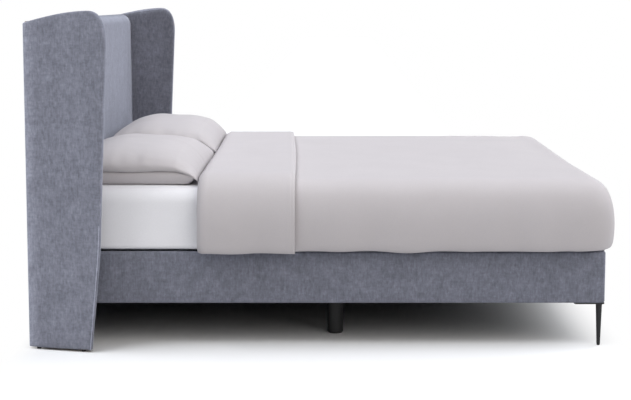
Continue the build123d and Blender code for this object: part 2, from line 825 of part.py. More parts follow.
def make_pillows():
    """The lower pair lies on the mattress and the upper pair lies on it and droops past it."""
    start = head_x + pillow_from_headboard
    ground = mattress_top + fit_gap
    lower, upper = [], []
    for run_share, width_share, fill_share in pillow_shares:
        x = start + run_share * lower_depth
        edge, crown = fill_share * lower_edge, fill_share * lower_crown
        lower.append(
            pillow_section(x, width_share * lower_half_width, ground, 0, edge, crown)
        )
        top_edge = fill_share * upper_edge if run_share < 1 else upper_foot_fill_share * upper_edge
        top_crown = fill_share * upper_crown if run_share < 1 else upper_foot_fill_share * upper_crown
        upper.append(
            pillow_section(
                x, width_share * upper_half_width, ground + edge + fit_gap, crown, top_edge, top_crown
            )
        )
    tip = lower_edge * pillow_shares[-1][2]
    tip_edge = pillow_tip_share * upper_edge
    upper.append(
        pillow_section(
            start + lower_depth + upper_overhang,
            pillow_shares[-1][1] * upper_half_width,
            ground + tip + fit_gap,
            tip,
            tip_edge,
            tip_edge,
        )
    )
    for name, sections in (("lower", lower), ("upper", upper)):
        pillow = loft(sections, ruled=True)
        save(f"pillow_{name}_left", pillow)
        save(f"pillow_{name}_right", mirrored(pillow))


make_headboard()
make_wings()
make_base_frame()
make_springs()
make_base_upholstery()
make_foot_legs()
make_support_legs()
make_mattress()
make_duvet()
make_pillows()
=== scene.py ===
from math import cos, exp, pi, radians, sin, sqrt, tan

import bmesh
import bpy
from mathutils import Matrix, Vector, noise
from mathutils.geometry import interpolate_bezier


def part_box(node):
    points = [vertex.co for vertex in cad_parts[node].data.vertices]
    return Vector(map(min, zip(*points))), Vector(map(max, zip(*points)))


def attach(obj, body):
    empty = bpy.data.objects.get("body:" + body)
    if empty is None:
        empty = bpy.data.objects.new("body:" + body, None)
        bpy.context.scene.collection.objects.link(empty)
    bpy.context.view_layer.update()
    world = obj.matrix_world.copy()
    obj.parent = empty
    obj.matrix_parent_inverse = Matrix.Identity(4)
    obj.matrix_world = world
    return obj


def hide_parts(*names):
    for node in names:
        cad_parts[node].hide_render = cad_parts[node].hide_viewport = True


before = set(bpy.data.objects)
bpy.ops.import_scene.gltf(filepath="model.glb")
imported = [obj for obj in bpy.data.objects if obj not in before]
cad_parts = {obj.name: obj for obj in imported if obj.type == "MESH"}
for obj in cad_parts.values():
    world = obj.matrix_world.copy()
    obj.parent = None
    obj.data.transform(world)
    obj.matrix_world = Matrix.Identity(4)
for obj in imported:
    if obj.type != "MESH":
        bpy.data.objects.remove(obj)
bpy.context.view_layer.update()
scene = bpy.context.scene
scene.view_settings.view_transform = "Standard"

# The studio. The camera stands to the right of the bed and looks across it. A pale sweep of floor runs far
# past the bed and is lit to pure white beyond the bed's two ends. The sky is white to the camera and soft
# to the bed, and broad lamps light it from above.
picture_width_px = 631
focal_px = 1352.0
camera_pitch = 5.47
camera_data = bpy.data.cameras.new("camera")
camera_data.sensor_width = 36.0
camera_data.lens = focal_px / picture_width_px * camera_data.sensor_width
camera_data.shift_x = -0.0388
camera_data.shift_y = -0.11
camera = bpy.data.objects.new("camera", camera_data)
camera.location = (0.0575, -5.758, 1.259)
camera.rotation_euler = (pi / 2 - radians(camera_pitch), 0, 0)
scene.collection.objects.link(camera)
scene.camera = camera

sky_level = 0.045
world = bpy.data.worlds.new("studio sky")
world.use_nodes = True
scene.world = world
sky = world.node_tree
sky.nodes["Background"].inputs["Color"].default_value = (0.96, 0.98, 1.0, 1)
sky.nodes["Background"].inputs["Strength"].default_value = sky_level
sky_ray = sky.nodes.new("ShaderNodeLightPath")
sky_seen = sky.nodes.new("ShaderNodeBackground")
sky_seen.inputs["Color"].default_value = (1, 1, 1, 1)
sky_mix = sky.nodes.new("ShaderNodeMixShader")
seen = sky_ray.outputs["Is Camera Ray"]
for ray in ("Is Glossy Ray", "Is Transmission Ray"):
    either = sky.nodes.new("ShaderNodeMath")
    either.operation = "MAXIMUM"
    sky.links.new(seen, either.inputs[0])
    sky.links.new(sky_ray.outputs[ray], either.inputs[1])
    seen = either.outputs[0]
sky.links.new(seen, sky_mix.inputs["Fac"])
sky.links.new(sky.nodes["Background"].outputs[0], sky_mix.inputs[1])
sky.links.new(sky_seen.outputs[0], sky_mix.inputs[2])
sky.links.new(sky_mix.outputs[0], sky.nodes["World Output"].inputs["Surface"])

cool = (0.93, 0.957, 1.0)
warm = (1.0, 0.975, 0.955)
lamps = (
    ("overhead lamp", 0.70, cool, (0, 0.10, 1.0), 50),
    ("front lamp", 0.30, warm, (0, -1.0, 0.70), 50),
    ("head end lamp", 1.72, cool, (-0.55, -0.25, 1.0), 40),
    ("far foot end lamp", 1.79, cool, (0.80, 0.45, 0.60), 50),
    ("near foot end lamp", 1.08, warm, (0.60, -0.60, 0.60), 50),
)
for name, strength, colour, toward, softness in lamps:
    lamp = bpy.data.lights.new(name, "SUN")
    lamp.energy = strength
    lamp.color = colour
    lamp.angle = radians(softness)
    lamp_object = bpy.data.objects.new(name, lamp)
    lamp_object.rotation_mode = "QUATERNION"
    lamp_object.rotation_quaternion = Vector(toward).to_track_quat("Z", "Y")
    scene.collection.objects.link(lamp_object)

floor_reach = 40
bm = bmesh.new()
bmesh.ops.create_grid(bm, x_segments=1, y_segments=1, size=floor_reach)
floor_mesh = bpy.data.meshes.new("floor")
bm.to_mesh(floor_mesh)
bm.free()
floor = bpy.data.objects.new("floor", floor_mesh)
scene.collection.objects.link(floor)
floor_paint = bpy.data.materials.new("pale floor")
floor_paint.use_nodes = True
nodes, links = floor_paint.node_tree.nodes, floor_paint.node_tree.links
floor_seen = nodes.new("ShaderNodeLightPath").outputs["Is Camera Ray"]
floor_colour = nodes.new("ShaderNodeMix")
floor_colour.data_type = "RGBA"
floor_colour.inputs["A"].default_value = (0.60, 0.60, 0.60, 1)
floor_colour.inputs["B"].default_value = (0.97, 0.97, 0.97, 1)
links.new(floor_seen, floor_colour.inputs["Factor"])
links.new(floor_colour.outputs["Result"], nodes["Principled BSDF"].inputs["Base Color"])
nodes["Principled BSDF"].inputs["Roughness"].default_value = 1.0
nodes["Principled BSDF"].inputs["Specular IOR Level"].default_value = 0.0
floor_place = nodes.new("ShaderNodeTexCoord")
floor_axes = nodes.new("ShaderNodeSeparateXYZ")
links.new(floor_place.outputs["Object"], floor_axes.inputs["Vector"])
white_ends = (("head end", -1.00, -1.13), ("foot end", 0.90, 1.12))
ends = []
for name, grey_at, white_at in white_ends:
    end = nodes.new("ShaderNodeMapRange")
    end.interpolation_type = "SMOOTHSTEP"
    end.inputs["From Min"].default_value = min(grey_at, white_at)
    end.inputs["From Max"].default_value = max(grey_at, white_at)
    end.inputs["To Min"].default_value = 1 if white_at < grey_at else 0
    end.inputs["To Max"].default_value = 0 if white_at < grey_at else 1
    links.new(floor_axes.outputs["X"], end.inputs["Value"])
    ends.append(end.outputs["Result"])
either_end = nodes.new("ShaderNodeMath")
either_end.operation = "ADD"
seen_end = nodes.new("ShaderNodeMath")
seen_end.operation = "MULTIPLY"
links.new(ends[0], either_end.inputs[0])
links.new(ends[1], either_end.inputs[1])
links.new(either_end.outputs[0], seen_end.inputs[0])
links.new(floor_seen, seen_end.inputs[1])
floor_glow = nodes.new("ShaderNodeEmission")
floor_mix = nodes.new("ShaderNodeMixShader")
links.new(seen_end.outputs[0], floor_mix.inputs["Fac"])
links.new(nodes["Principled BSDF"].outputs[0], floor_mix.inputs[1])
links.new(floor_glow.outputs[0], floor_mix.inputs[2])
links.new(floor_mix.outputs[0], nodes["Material Output"].inputs["Surface"])
floor_mesh.materials.append(floor_paint)


# The upholstery cloth: a heavy grey-blue chenille. Its pile stands in short slubs of lighter and darker
# yarn, it is brushed into soft patches, and it shines where light skims it. Copies of it carry painted
# light: the headboard, the base and the insides of the wings are painted darker as shade, and the welts
# lighter as a painted highlight. Each wing's vertices carry a share of painted highlight along its back
# edge and of painted shade along the top of its front.
def pattern(tree, stretch, scale, detail, roughness):
    """A noise pattern on the bed's own coordinates, stretched along its axes."""
    place = tree.nodes.new("ShaderNodeTexCoord")
    mapping = tree.nodes.new("ShaderNodeMapping")
    mapping.inputs["Scale"].default_value = stretch
    cloud = tree.nodes.new("ShaderNodeTexNoise")
    cloud.inputs["Scale"].default_value = scale
    cloud.inputs["Detail"].default_value = detail
    cloud.inputs["Roughness"].default_value = roughness
    tree.links.new(place.outputs["Object"], mapping.inputs["Vector"])
    tree.links.new(mapping.outputs["Vector"], cloud.inputs["Vector"])
    return cloud.outputs["Fac"]


def spread(tree, value, dark, light):
    """Maps the middle of a noise pattern to a range of brightness."""
    ranged = tree.nodes.new("ShaderNodeMapRange")
    levels = {"From Min": 0.3, "From Max": 0.7, "To Min": dark, "To Max": light}
    for socket, level in levels.items():
        ranged.inputs[socket].default_value = level
    tree.links.new(value, ranged.inputs["Value"])
    return ranged.outputs["Result"]


def layered(tree, layers):
    """The noise patterns of some layers, and how dark or light each of them makes the surface."""
    patterns, shades = [], []
    for stretch, scale, detail, roughness, dark, light in layers:
        patterns.append(pattern(tree, stretch, scale, detail, roughness))
        shades.append(spread(tree, patterns[-1], dark, light))
    return patterns, shades


def product(tree, *values):
    """Multiplies brightness values together."""
    result = values[0]
    for value in values[1:]:
        times = tree.nodes.new("ShaderNodeMath")
        times.operation = "MULTIPLY"
        tree.links.new(result, times.inputs[0])
        tree.links.new(value, times.inputs[1])
        result = times.outputs[0]
    return result


def scaled(tree, colour, shade):
    """A colour socket made lighter and darker by a brightness value."""
    paint = tree.nodes.new("ShaderNodeVectorMath")
    paint.operation = "SCALE"
    tree.links.new(colour, paint.inputs[0])
    tree.links.new(shade, paint.inputs["Scale"])
    return paint.outputs["Vector"]


def surface_group(name):
    """A shared group that turns one colour into a patterned one, with a height for the bump."""
    group = bpy.data.node_groups.new(name, "ShaderNodeTree")
    group.interface.new_socket("Colour", in_out="INPUT", socket_type="NodeSocketColor")
    group.interface.new_socket("Colour", in_out="OUTPUT", socket_type="NodeSocketColor")
    group.interface.new_socket("Height", in_out="OUTPUT", socket_type="NodeSocketFloat")
    return group, group.nodes.new("NodeGroupInput").outputs["Colour"], group.nodes.new("NodeGroupOutput")


def shaded(tree, colour, group_out, shades, height):
    """Ends a shared group with its colour, shaded by its layers, and its height."""
    tree.links.new(scaled(tree, colour, product(tree, *shades)), group_out.inputs["Colour"])
    tree.links.new(height, group_out.inputs["Height"])


def layered_group(name, layers):
    """A shared group that is shaded by its layers, with the first of them as its height."""
    group, colour, group_out = surface_group(name)
    patterns, shades = layered(group, layers)
    shaded(group, colour, group_out, shades, patterns[0])
    return group


def surfaced(name, group, colour, bump_distance, bump_strength, **settings):
    """A material whose colour and bump come from a shared group."""
    material = bpy.data.materials.new(name)
    material.use_nodes = True
    tree = material.node_tree
    shader = tree.nodes["Principled BSDF"]
    for socket, value in settings.items():
        shader.inputs[socket.replace("_", " ")].default_value = value
    paint = tree.nodes.new("ShaderNodeGroup")
    paint.node_tree = group
    paint.inputs["Colour"].default_value = (*colour, 1)
    bump = tree.nodes.new("ShaderNodeBump")
    bump.inputs["Distance"].default_value = bump_distance
    bump.inputs["Strength"].default_value = bump_strength
    tree.links.new(paint.outputs["Height"], bump.inputs["Height"])
    tree.links.new(paint.outputs["Colour"], shader.inputs["Base Color"])
    tree.links.new(bump.outputs["Normal"], shader.inputs["Normal"])
    return material


# Upright slubs, level slubs, mottle and brushed patches. Each layer of a cloth or coat has its stretch,
# scale, detail and roughness, and the dark and the light that it gives.
weave_layers = (
    ((1, 1, 0.26), 150, 3, 0.70, 0.83, 1.17),
    ((0.30, 0.30, 1), 150, 3, 0.70, 0.90, 1.10),
    ((1, 1, 0.7), 75, 3, 0.65, 0.86, 1.14),
    ((1, 1, 0.8), 20, 4, 0.62, 0.88, 1.12),
)
weave, yarn, woven = surface_group("chenille weave")
slubs, weave_shades = layered(weave, weave_layers)
# A per-vertex share of painted highlight and painted shade on the wings lightens or darkens the yarn.
painted_rim_light = weave.nodes.new("ShaderNodeAttribute")
painted_rim_light.attribute_name = "painted_rim_light"
lighter = weave.nodes.new("ShaderNodeMath")
lighter.operation = "ADD"
lighter.inputs[1].default_value = 1
weave.links.new(painted_rim_light.outputs["Fac"], lighter.inputs[0])
shaded(weave, yarn, woven, (*weave_shades, lighter.outputs[0]), product(weave, slubs[0], slubs[1]))
grey_blue = (0.252, 0.261, 0.318)
blue_sheen = (0.82, 0.86, 1.0, 1)


def chenille(name, light_level):
    """Chenille scaled by a level: above 1 it is a painted highlight, below 1 painted shade."""
    return surfaced(
        name, weave, [level * light_level for level in grey_blue], bump_distance=0.0015, bump_strength=0.5,
        Roughness=0.9, Specular_IOR_Level=0.15, Sheen_Weight=0.55, Sheen_Roughness=0.4,
        Sheen_Tint=blue_sheen,
    )


# Lit and shaded copies of one chenille: the headboard, the insides of the wings and the base are painted
# darker, as shade.
chenille_outer = chenille("chenille", light_level=1.0)
headboard_chenille_painted_shade = chenille("chenille of the headboard with painted shade", light_level=0.93)
wing_inside_chenille_painted_shade = chenille("chenille inside the wings with painted shade", light_level=0.66)
base_chenille_painted_shade = chenille("chenille of the base with painted shade", light_level=0.78)
# The welts are painted lighter, as a painted highlight along the wings' front rims.
welt_chenille_painted_highlight = chenille("chenille of the welts with painted highlight", light_level=1.8)


# The headboard: one tall pad of foam on a timber frame, covered in one piece of chenille that is rolled
# over the round top edge, pulled down tight over the top rail behind it, and turned over the back, where a
# plain cloth is stapled over its ends. It fills the space between the wings, so it gets wider to the front.
def add_piece(name, bm, materials, body="bed"):
    """Turns a finished bmesh into a piece of the bed."""
    bmesh.ops.remove_doubles(bm, verts=bm.verts, dist=1e-6)
    bmesh.ops.recalc_face_normals(bm, faces=bm.faces)
    for face in bm.faces:
        face.smooth = True
    mesh = bpy.data.meshes.new(name)
    bm.to_mesh(mesh)
    bm.free()
    for material in materials if isinstance(materials, tuple) else (materials,):
        mesh.materials.append(material)
    piece = bpy.data.objects.new(name, mesh)
    scene.collection.objects.link(piece)
    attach(piece, body)
    return piece


def box_bmesh(low, high):
    """A bmesh box between two corners."""
    bm = bmesh.new()
    bmesh.ops.create_cube(bm, size=1)
    bmesh.ops.scale(bm, vec=Vector(high) - Vector(low), verts=bm.verts)
    bmesh.ops.translate(bm, vec=(Vector(high) + Vector(low)) / 2, verts=bm.verts)
    return bm


def thicken(bm, faces, depth):
    """Pulls faces out into a slab."""
    thicker = bmesh.ops.extrude_face_region(bm, geom=faces)["geom"]
    moved = [part for part in thicker if isinstance(part, bmesh.types.BMVert)]
    bmesh.ops.translate(bm, vec=depth, verts=moved)


def edges_at(bm, **places):
    """The edges that lie on all the named planes."""
    axes = {"x": 0, "y": 1, "z": 2}
    near = 1e-4
    return [
        edge for edge in bm.edges
        if all(abs(v.co[axes[a]] - place) < near for a, place in places.items() for v in edge.verts)
    ]


def rounded(bm, edges, radius, segments):
    """Rounds edges over."""
    bmesh.ops.bevel(
        bm, geom=edges, offset=radius, segments=segments, profile=0.5, affect="EDGES", material=-1
    )


def recessed(bm, axis, place, margin, depth):
    """Sets the middle of a flat side back, inside a margin."""
    near = 1e-4
    side = [f for f in bm.faces if all(abs(v.co[axis] - place) < near for v in f.verts)]
    bmesh.ops.inset_region(bm, faces=side, thickness=margin, use_even_offset=True)
    inner = {v for f in side for v in f.verts}
    move = Vector((0, 0, 0))
    move[axis] = depth
    bmesh.ops.translate(bm, vec=move, verts=list(inner))


def cut_into_strips(bm, axis, low, high, count):
    """Adds cuts square to an axis, so that a flat panel can be softened."""
    across = Vector((0, 0, 0))
    across[axis] = 1
    for i in range(1, count):
        place = across * (low + (high - low) * i / count)
        geometry = bm.verts[:] + bm.edges[:] + bm.faces[:]
        bmesh.ops.bisect_plane(bm, geom=geometry, plane_co=place, plane_no=across, dist=1e-5)


def soften(bm, depth, size, free=lambda place: True):
    """Lets a panel give in and out a little, as padding under cloth does."""
    bm.normal_update()
    moves = [v.normal * (depth * noise.noise(v.co / size)) for v in bm.verts]
    for vert, move in zip(bm.verts, moves):
        if free(vert.co):
            vert.co += move


cover_low, cover_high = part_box("headboard_cover")
back_x, head_x = cover_low.x, cover_high.x
pad_low, pad_top = cover_low.z, cover_high.z
half_width = -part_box("base_cover_right")[0].y
splay = radians(14)
wing_clearance = 0.001
top_roll = 0.052
back_roll = 0.004
back_drop, back_drop_reach = 0.0085, 0.062
back_hem = 0.026
lining_depth = 0.0016
headboard_give, headboard_wave = 0.0022, 0.20

bm = box_bmesh((back_x, -half_width, pad_low), (head_x, half_width, pad_top))
rounded(bm, edges_at(bm, x=head_x, z=pad_top), top_roll, segments=12)
rounded(bm, edges_at(bm, x=back_x, z=pad_top), back_roll, segments=5)
cut_into_strips(bm, 0, back_x, back_x + back_drop_reach, count=10)
recessed(bm, 0, back_x, back_hem, lining_depth)
cut_into_strips(bm, 1, -half_width, half_width, count=26)
cut_into_strips(bm, 2, pad_low, pad_top - top_roll, count=18)
soften(bm, headboard_give, headboard_wave, lambda place: place.x > back_x + back_drop_reach)
for vert in bm.verts:
    from_back = min(max(vert.co.x - back_x, 0) / back_drop_reach, 1)
    raised = min(max((vert.co.z - pad_top) / back_hem + 1, 0), 1)
    vert.co.z -= back_drop * raised * (1 - from_back ** 2) ** 2
    wing_y = half_width + (vert.co.x - back_x) * tan(splay) - wing_clearance
    vert.co.y *= wing_y / half_width
    vert.co.z = max(vert.co.z, pad_low)
headboard_pad = add_piece("headboard_pad", bm, headboard_chenille_painted_shade)
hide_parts("headboard_cover", "headboard_foam")

# The wings: two flat plywood panels wrapped in thin foam and chenille, and bolted to the sides of the
# headboard so that they open towards the foot. The rim is soft, more so on the side of the bed. Along the
# straight front, a thin welt is sewn in where the outer panel of cloth meets the rim.
wing_crest_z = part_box("wing_cover_right")[1].z
wing_thickness = 0.038
wing_outer_roll = 0.009
wing_inner_roll = 0.024
wing_back_roll = 0.008
wing_back_cuts = (0.0008, 0.0024, 0.005)
# Cuts near each wing's back carry a painted highlight there; the top of the front gets painted shade.
painted_light_cuts = (0.014, 0.021, 0.030, 0.040, 0.052)
back_painted_highlight, back_highlight_reach = 0.55, 0.055
front_painted_shade, front_shade_reach = -0.16, 0.10
highlight_fade = 1.5
wing_give, wing_wave = 0.0022, 0.17
wing_overrun = 0.03
wing_knee = (0.287, 0.352)
wing_knee_reach = 0.11
wing_foot = (0.250, pad_low)
wing_front_top = (0.3215, 1.101)
wing_crest = (0.257, wing_crest_z)
wing_back_drop = 0.046
wing_back_top = (0, wing_crest_z - wing_back_drop)
arch_slope = 0.30


def bend(start, start_handle, end_handle, end, steps):
    """Points along a smooth bend in the plane of a wing, without its last one."""
    points = [Vector((depth, 0, z)) for depth, z in (start, start_handle, end_handle, end)]
    return interpolate_bezier(*points, steps)[:-1]


def toward(start, end, reach):
    """The point this far from one place on the way to another."""
    place = Vector(start)
    return tuple(place + (Vector(end) - place).normalized() * reach)


wing_outline = [Vector((-wing_overrun, 0, pad_low)), Vector((wing_foot[0], 0, wing_foot[1]))]
below_knee = toward(wing_knee, wing_foot, wing_knee_reach)
above_knee = toward(wing_knee, wing_front_top, wing_knee_reach)
wing_outline += bend(below_knee, wing_knee, wing_knee, above_knee, steps=8)
wing_outline += [Vector((above_knee[0], 0, above_knee[1]))]
nose_handles = ((0.3245, wing_crest_z - 0.060), (0.3085, wing_crest_z + 0.0002))
wing_outline += bend(wing_front_top, *nose_handles, wing_crest, steps=16)
arch_handles = ((0.222, wing_crest_z + 0.0002), (0.10, wing_crest_z - 0.0115))
wing_outline += bend(wing_crest, *arch_handles, wing_back_top, steps=14)
wing_outline += [Vector((0, 0, wing_back_top[1]))]
wing_outline += [Vector((-wing_overrun, 0, wing_back_top[1] - wing_overrun * arch_slope))]


def stand_splayed(point):
    """Turns a place beside the headboard, drawn square to the bed, to its place on the right wing."""
    return Matrix.Rotation(-splay, 3, "Z") @ Vector(point) + Vector((back_x, -half_width, 0))


def wing_panel():
    """The right wing's padded panel, square to the bed and running on behind its back edge."""
    bm = bmesh.new()
    flank = bm.faces.new([bm.verts.new(point) for point in wing_outline])
    thicken(bm, [flank], (0, -wing_thickness, 0))
    bmesh.ops.recalc_face_normals(bm, faces=bm.faces)

    def rim(y):
        flat = [e for e in edges_at(bm, y=y) if max(v.co.x for v in e.verts) > -wing_overrun / 2]
        return [e for e in flat if len(e.link_faces) == 2 and e.calc_face_angle(0) > 1]

    rounded(bm, rim(-wing_thickness), wing_outer_roll, segments=4)
    rounded(bm, rim(0), wing_inner_roll, segments=8)
    cut_into_strips(bm, 0, -wing_overrun, wing_front_top[0], count=8)
    cut_into_strips(bm, 2, pad_low, wing_crest_z, count=24)
    for face in bm.faces:
        # Faces on the bed's side of a wing take the darker copy of the chenille, painted shade between the
        # wings.
        face.material_index = 1 if face.calc_center_median().y > -wing_inner_roll / 4 else 0
    soften(bm, wing_give, wing_wave, lambda place: place.y < -wing_inner_roll)
    return bm


def cut_flush(bm):
    """Cuts a wing off flush with the headboard's back, and cuts it finely near there."""
    geometry = bm.verts[:] + bm.edges[:] + bm.faces[:]
    cut = bmesh.ops.bisect_plane(
        bm, geom=geometry, plane_co=(back_x, 0, 0), plane_no=(-1, 0, 0), clear_outer=True, dist=1e-6
    )["geom_cut"]
    bmesh.ops.holes_fill(bm, edges=[part for part in cut if isinstance(part, bmesh.types.BMEdge)])
    for depth in (*wing_back_cuts, wing_back_roll, *painted_light_cuts):
        geometry = bm.verts[:] + bm.edges[:] + bm.faces[:]
        place = (back_x + depth, 0, 0)
        bmesh.ops.bisect_plane(bm, geom=geometry, plane_co=place, plane_no=(1, 0, 0), dist=1e-6)


def round_back(bm):
    """Rounds a wing's outer back edge, and leaves its vertices in the plane of the back."""
    across = Vector((sin(splay), cos(splay), 0))
    for vert in bm.verts:
        short = wing_back_roll - (vert.co.x - back_x)
        outer = -(vert.co - Vector((back_x, -half_width, 0))).dot(across) / wing_thickness
        if short > 0 and outer > 0.5:
            drop = wing_back_roll - sqrt(max(wing_back_roll ** 2 - short ** 2, 0))
            move = across * (drop * (2 * outer - 1))
            vert.co.y += move.y + move.x * tan(splay)


def paint_rim_light(wing):
    """Gives a wing a painted highlight along its back edge and painted shade along the top of its front."""
    painted_light_values = wing.data.attributes.new("painted_rim_light", "FLOAT", "POINT")
    for vert, value in zip(wing.data.vertices, painted_light_values.data):
        from_back = min((vert.co.x - back_x) / back_highlight_reach, 1)
        from_front = min((back_x + wing_front_top[0] - vert.co.x) / front_shade_reach, 1)
        raised = min(max(vert.co.z / wing_crest_z, 0), 1)
        value.value = back_painted_highlight * (1 - from_back) ** highlight_fade + front_painted_shade * (1 - from_front) * raised


def welt(name, path, radius, material):
    """A thin sewn cord of cloth along a path."""
    curve = bpy.data.curves.new(name, "CURVE")
    curve.dimensions = "3D"
    curve.bevel_depth = radius
    curve.bevel_resolution = 2
    curve.use_fill_caps = True
    line = curve.splines.new("POLY")
    line.points.add(len(path) - 1)
    for point, place in zip(line.points, path):
        point.co = (*place, 1)
    line.use_smooth = True
    curve.materials.append(material)
    piece = bpy.data.objects.new(name, curve)
    scene.collection.objects.link(piece)
    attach(piece, "bed")


welt_radius = 0.0018
welt_inset = 0.0028
welt_path = []
for before, here, after in zip(wing_outline, wing_outline[1:], wing_outline[2:]):
    along = (after - before).normalized()
    inward = Vector((-along.z, 0, along.x))
    place = stand_splayed(here + inward * welt_inset + Vector((0, welt_inset - wing_thickness, 0)))
    if place.x > back_x + wing_foot[0] / 2 and place.z < wing_front_top[1]:
        welt_path.append(place)
for name, side in (("right", 1), ("left", -1)):
    bm = wing_panel()
    for vert in bm.verts:
        vert.co = stand_splayed(vert.co)
    cut_flush(bm)
    round_back(bm)
    bmesh.ops.scale(bm, vec=(1, side, 1), verts=bm.verts)
    wing = add_piece(f"wing_{name}", bm, (chenille_outer, wing_inside_chenille_painted_shade))
    # The wing's vertices get their share of painted highlight and painted shade.
    paint_rim_light(wing)
    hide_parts(f"wing_cover_{name}", f"wing_foam_{name}")
    # Each welt takes the lighter chenille copy, a painted highlight along the wing's front edge.
    welt(f"wing_welt_{name}", [(p.x, p.y * side, p.z) for p in welt_path], welt_radius, welt_chenille_painted_highlight)

# The sprung base: a box of rails, slats and springs, wrapped in foam and chenille with softly rounded
# edges. The side panels meet the foot panel in upright sewn seams near the foot corners.
base_low, base_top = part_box("base_cover_foot")[0].z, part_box("base_cover_foot")[1].z
foot_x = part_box("base_cover_foot")[1].x
base_corner = 0.016
base_roll = 0.007
base_head_gap = 0.0008
base_lip = 0.030
seam_from_corner = 0.010
seam_sunk = base_corner / 8
base_give, base_wave = 0.0024, 0.15

bm = box_bmesh((head_x + base_head_gap, -half_width, base_low), (foot_x, half_width, base_top))
foot_corners = [e for y in (-half_width, half_width) for e in edges_at(bm, x=foot_x, y=y)]
rounded(bm, foot_corners, base_corner, segments=5)
for z, depth in ((base_low, lining_depth), (base_top, -lining_depth)):
    rim = [e for e in edges_at(bm, z=z) if max(v.co.x for v in e.verts) > head_x + base_lip]
    rounded(bm, rim, base_roll, segments=4)
    recessed(bm, 2, z, base_lip - base_roll, depth)
cut_into_strips(bm, 0, head_x, foot_x, count=28)
cut_into_strips(bm, 1, -half_width, half_width, count=24)
cut_into_strips(bm, 2, base_low + base_roll, base_top - base_roll, count=5)
flank_low, flank_high = base_low + base_roll / 2, base_top - base_roll / 2
soften(bm, base_give, base_wave, lambda place: flank_low < place.z < flank_high)
for vert in bm.verts:
    vert.co.x = max(vert.co.x, head_x + base_head_gap)
# The base takes the darker copy of the chenille, painted shade under the duvet's overhang.
base_box = add_piece("base_box", bm, base_chenille_painted_shade)
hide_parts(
    "base_cover_right", "base_cover_left", "base_cover_foot", "base_cover_head",
    "base_padding_right", "base_padding_left", "base_padding_foot", "base_foam_pad",
)
for name, side in (("right", -1), ("left", 1)):
    seam_x, seam_y = foot_x - seam_from_corner, side * (half_width - seam_sunk)
    seam = [(seam_x, seam_y, z) for z in (base_low + base_roll, base_top - base_roll)]
    welt(f"base_seam_{name}", seam, welt_radius, base_chenille_painted_shade)

# The linings: thin black cloth that closes the back of the headboard and both flat sides of the base. Each
# is pulled tight over the turned edges of the chenille and stapled down all round.
lining_gap = 0.0002
lining_thickness = 0.0012
staple_spacing = 0.055
staple_size = (0.011, 0.0011)
staple_inset = 0.007
lining_strips = 12
fibre_layers = (
    ((1, 1, 1), 900, 4, 0.7, 0.7, 1.3),
    ((1, 1, 1), 30, 2, 0.5, 0.9, 1.1),
)
felted = layered_group("pressed fibres", fibre_layers)
lining_black = (0.020, 0.020, 0.022)
lining_cloth = surfaced(
    "black lining", felted, lining_black, bump_distance=0.0004, bump_strength=0.4, Roughness=0.95
)
streak_layers = (((1, 1, 0.08), 900, 2, 0.5, 0.85, 1.1),)
brushed_metal = layered_group("drawn metal", streak_layers)
zinc = (0.60, 0.61, 0.62)
bright_steel = surfaced(
    "zinc plated steel", brushed_metal, zinc, bump_distance=0.0002, bump_strength=0.2, Metallic=1.0,
    Roughness=0.38,
)


def staple_places(low, high, sides):
    """Where staples sit along the edges of a cloth: the way each lies, and its two places."""
    for i, j in (sides, sides[::-1]):
        run = high[i] - low[i] - 2 * staple_inset
        count = round(run / staple_spacing)
        for k in range(count):
            for edge in (low[j] + staple_inset, high[j] - staple_inset):
                yield i, j, low[i] + staple_inset + run * (k + 0.5) / count, edge


def staple_down(name, axis, place, low, high, sides):
    """Staples round the edge of a cloth."""
    bm = bmesh.new()
    for i, j, along, edge in staple_places(low, high, sides):
        middle, size = Vector((0, 0, 0)), Vector((0, 0, 0))
        middle[i], middle[j], middle[axis] = along, edge, place
        size[i], size[j] = staple_size
        size[axis] = 2 * lining_gap + staple_size[1] / 2
        staple = bmesh.ops.create_cube(bm, size=1)["verts"]
        bmesh.ops.scale(bm, vec=size, verts=staple)
        bmesh.ops.translate(bm, vec=middle, verts=staple)
    add_piece(name, bm, bright_steel)


def lining(node, axis, place, inward, low, high, seen=True):
    """One tight cloth on a flat side, stapled to the frame under it."""
    near, far = sorted((place + inward * lining_gap, place + inward * (lining_gap + lining_thickness)))
    low, high = Vector(low), Vector(high)
    low[axis], high[axis] = near, far
    sides = [i for i in range(3) if i != axis]
    bm = box_bmesh(low, high)
    for i in sides:
        cut_into_strips(bm, i, low[i], high[i], lining_strips)
    cloth = add_piece(f"{node}_sheet", bm, lining_cloth)
    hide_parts(node)
    if seen:
        staple_down(f"{node}_staples", axis, place, low, high, sides)


inner_half = half_width - base_lip
lining(
    "headboard_back_cloth", 0, back_x, 1,
    (0, -inner_half, pad_low + back_hem), (0, inner_half, pad_top - back_roll - back_hem),
)
lining(
    "base_dust_cloth", 2, base_low, 1,
    (head_x + base_lip, -inner_half, 0), (foot_x - base_lip, inner_half, 0),
)
lining(
    "base_deck_cloth", 2, base_top, -1,
    (head_x + base_lip, -inner_half, 0), (foot_x - base_lip, inner_half, 0), seen=False,
)

